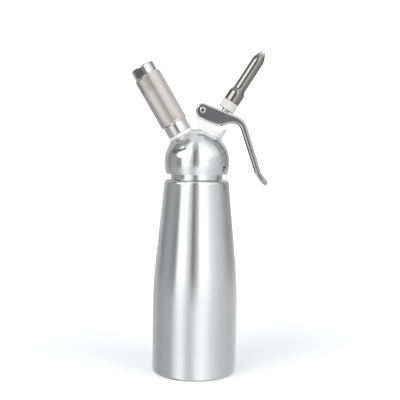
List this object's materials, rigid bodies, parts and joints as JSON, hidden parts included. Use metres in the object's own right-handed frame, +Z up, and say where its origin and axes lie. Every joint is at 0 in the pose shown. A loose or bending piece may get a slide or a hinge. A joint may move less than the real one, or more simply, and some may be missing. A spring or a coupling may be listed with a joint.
{
  "type": "whipped cream dispenser",
  "caption": "Bottle with a screw-on head that takes a gas charger under a knurled holder and gives cream through a slotted nozzle when its hanging lever is squeezed.",
  "frame": {"origin": "centre of the bottle's base, on the plane it stands on", "axes": "+Z up the bottle, +X towards the lever and nozzle, +Y to the back as seen in the picture"},
  "size_m": [0.1281, 0.08, 0.303],
  "materials": {
    "brushed_aluminium": "lengthways brushed satin",
    "cast_aluminium": "blasted casting with a brushed dome",
    "red_silicone": "moulded silicone",
    "nickel_brass": "nickel plated, turned",
    "clear_silicone": "translucent silicone",
    "hard_steel": "ground",
    "black_rubber": "moulded",
    "zinc_steel": "zinc plated",
    "chromed_brass": "polished with a knurled grip",
    "stainless_turned": "turned",
    "spring_steel": "drawn wire",
    "white_nylon": "moulded with finger ribs",
    "polished_stainless": "polished, drawn",
    "pressed_stainless": "polished pressing",
    "nickel_screw": "nickel plated"
  },
  "bodies": {
    "bottle": {"bottle": "brushed_aluminium"},
    "gasket": {"head_gasket": "red_silicone"},
    "head": {"head": "cast_aluminium", "charger_nipple": "nickel_brass", "gas_valve_flap": "clear_silicone", "piercing_pin": "hard_steel", "charger_seal": "black_rubber", "valve_spring": "spring_steel"},
    "charger": {"gas_charger": "zinc_steel"},
    "holder": {"charger_holder": "chromed_brass"},
    "lever": {"lever": "pressed_stainless", "pivot_pin": "hard_steel", "lever_screws": "nickel_screw"},
    "valve": {"valve_stem": "stainless_turned", "stem_o_rings": "black_rubber", "stem_seal": "clear_silicone", "seal_nut": "stainless_turned", "collar_nut": "stainless_turned", "nozzle_adaptor": "white_nylon"},
    "nozzle": {"nozzle_tip": "polished_stainless"}
  },
  "joints": [
    {"name": "head_lift", "type": "slide", "parent": "bottle", "child": "gasket", "axis": [0, 0, 1], "range_m": [0, 0.0101]},
    {"name": "head_spin", "type": "hinge", "parent": "gasket", "child": "head", "pos_m": [0, 0, 0.198], "axis": [0, 0, 1], "range_deg": [0, 1200]},
    {"name": "charger_lift", "type": "slide", "parent": "head", "child": "charger", "axis": [-0.5105, 0, 0.8599], "range_m": [0, 0.0121]},
    {"name": "holder_spin", "type": "hinge", "parent": "charger", "child": "holder", "pos_m": [0, 0, 0.199], "axis": [-0.5105, 0, 0.8599], "range_deg": [0, 2880]},
    {"name": "lever_squeeze", "type": "hinge", "parent": "head", "child": "lever", "pos_m": [0.00485, 0, 0.24757], "axis": [0, 1, 0], "range_deg": [0, 10], "stiffness_Nm_per_rad": 0.3, "springref_deg": -8.59},
    {"name": "valve_press", "type": "slide", "parent": "head", "child": "valve", "axis": [-0.5329, 0, -0.8462], "range_m": [0, 0.003], "stiffness_N_per_m": 200, "springref_m": -0.002, "deforming": ["valve_spring"]},
    {"name": "nozzle_unscrew", "type": "slide", "parent": "valve", "child": "nozzle", "axis": [0.5329, 0, 0.8462], "range_m": [0, 0.0095]}
  ],
  "couplings": [
    {"joint": "head_lift", "follows": "head_spin", "m_per_rad": 0.00047746},
    {"joint": "charger_lift", "follows": "holder_spin", "m_per_rad": 0.00023873},
    {"joint": "valve_press", "follows": "lever_squeeze", "m_per_rad": 0.0171}
  ]
}
